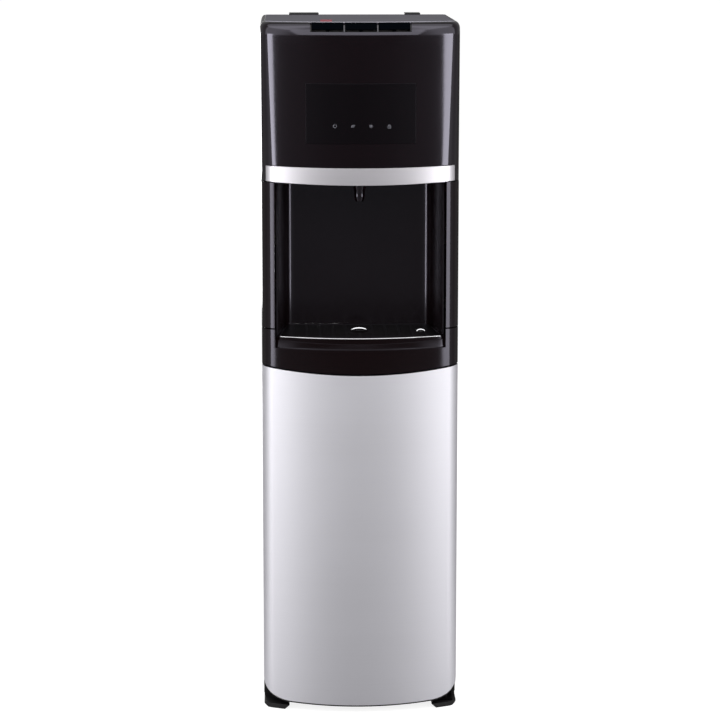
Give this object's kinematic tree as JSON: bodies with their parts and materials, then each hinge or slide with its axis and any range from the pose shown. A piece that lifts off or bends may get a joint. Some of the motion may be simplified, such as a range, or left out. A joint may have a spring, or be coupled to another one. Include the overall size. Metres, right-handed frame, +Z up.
{
  "type": "bottom load water cooler",
  "caption": "Free-standing water cooler with a bottle cupboard behind a steel door, a dispensing niche with drip tray, and push keys on a curved gloss head",
  "frame": {"origin": "on the floor, under the middle of the object's width and depth", "axes": "+X to the object's right as seen from its front, +Y to its rear, +Z up; the front faces -Y"},
  "size_m": [0.31, 0.36, 1.0987],
  "materials": {
    "gloss_black": "high gloss moulding",
    "satin_black": "satin moulding",
    "panel_black": "satin paint on sheet steel",
    "rubber_black": "matt",
    "cover_grey": "satin moulding",
    "divider_grey": "satin moulding",
    "brushed_steel": "brushed",
    "zinc_plated": "zinc plated sheet",
    "lock_red": "gloss moulding",
    "smoked_acrylic": "polished",
    "board_green": "lacquered board",
    "foam_white": "foam",
    "copper": "drawn tube",
    "nylon_white": "satin moulding",
    "hose_clear": "translucent hose",
    "compressor_black": "gloss paint"
  },
  "bodies": {
    "cabinet": {"base_plinth": "satin_black", "rear_foot_left": "rubber_black", "rear_foot_right": "rubber_black", "left_side_panel": "panel_black", "right_side_panel": "panel_black", "rear_panel": "panel_black", "mid_deck": "zinc_plated", "tray_housing": "gloss_black", "niche_liner": "gloss_black", "left_post": "gloss_black", "right_post": "gloss_black", "nozzle": "gloss_black", "trim_band": "brushed_steel", "head_cover": "gloss_black", "display_window": "smoked_acrylic", "display_board": "board_green", "key_bezel": "divider_grey", "switch_board": "board_green", "top_cover": "cover_grey", "rear_spacer_left": "satin_black", "rear_spacer_right": "satin_black", "door_catch": "nylon_white", "lower_hinge_bracket": "zinc_plated", "upper_hinge_bracket": "zinc_plated", "probe_tube": "nylon_white", "probe_collar": "nylon_white", "probe_clip": "nylon_white", "suction_hose": "hose_clear", "water_pump": "satin_black", "compressor_tray": "zinc_plated", "compressor": "compressor_black", "bay_shelf": "zinc_plated", "cold_tank_foam": "foam_white", "cold_tank": "brushed_steel", "hot_tank": "brushed_steel", "valve_block": "nylon_white", "hot_line": "hose_clear", "cold_line": "hose_clear", "pump_line": "hose_clear", "suction_line": "copper", "control_box": "satin_black", "switch_frame": "satin_black", "condenser_coil": "compressor_black", "condenser_rail_left": "zinc_plated", "condenser_rail_right": "zinc_plated", "drain_spout": "nylon_white", "cord_gland": "rubber_black"},
    "door": {"door_skin": "brushed_steel", "door_liner": "satin_black", "door_strike": "zinc_plated"},
    "hot_key": {"button_hot": "gloss_black"},
    "room_key": {"button_room": "gloss_black"},
    "cold_key": {"button_cold": "gloss_black"},
    "lock": {"child_lock": "lock_red"},
    "tray": {"drip_tray": "gloss_black"},
    "grille": {"drip_grille": "satin_black"},
    "float": {"overflow_float": "satin_black"},
    "heat_switch": {"rocker_heat": "lock_red"},
    "cool_switch": {"rocker_cool": "satin_black"},
    "cap": {"drain_cap": "satin_black"}
  },
  "joints": [
    {"name": "door_hinge", "type": "hinge", "parent": "cabinet", "child": "door", "pos_m": [0.137, -0.12272, 0.3], "axis": [0, 0, 1], "range_deg": [0, 110]},
    {"name": "hot_key_press", "type": "slide", "parent": "cabinet", "child": "hot_key", "axis": [0, 0, -1], "range_m": [0, 0.003], "stiffness_N_per_m": 300, "springref_m": -0.002},
    {"name": "room_key_press", "type": "slide", "parent": "cabinet", "child": "room_key", "axis": [0, 0, -1], "range_m": [0, 0.003], "stiffness_N_per_m": 300, "springref_m": -0.002},
    {"name": "cold_key_press", "type": "slide", "parent": "cabinet", "child": "cold_key", "axis": [0, 0, -1], "range_m": [0, 0.003], "stiffness_N_per_m": 300, "springref_m": -0.002},
    {"name": "child_lock_slide", "type": "slide", "parent": "cabinet", "child": "lock", "axis": [0, 1, 0], "range_m": [0, 0.006]},
    {"name": "tray_lift", "type": "slide", "parent": "cabinet", "child": "tray", "axis": [0, 0, 1], "range_m": [0, 0.06]},
    {"name": "grille_lift", "type": "slide", "parent": "tray", "child": "grille", "axis": [0, 0, 1], "range_m": [0, 0.03]},
    {"name": "float_rise", "type": "slide", "parent": "tray", "child": "float", "axis": [0, 0, 1], "range_m": [0, 0.005]},
    {"name": "heat_switch_rock", "type": "hinge", "parent": "cabinet", "child": "heat_switch", "pos_m": [-0.12, 0.1585, 1.008], "axis": [1, 0, 0], "range_deg": [0, 16]},
    {"name": "cool_switch_rock", "type": "hinge", "parent": "cabinet", "child": "cool_switch", "pos_m": [-0.092, 0.1585, 1.008], "axis": [1, 0, 0], "range_deg": [0, 16]},
    {"name": "drain_cap_turn", "type": "hinge", "parent": "cabinet", "child": "cap", "pos_m": [0.118, 0.168, 0.612], "axis": [0, 1, 0], "range_deg": [0, 720]}
  ]
}
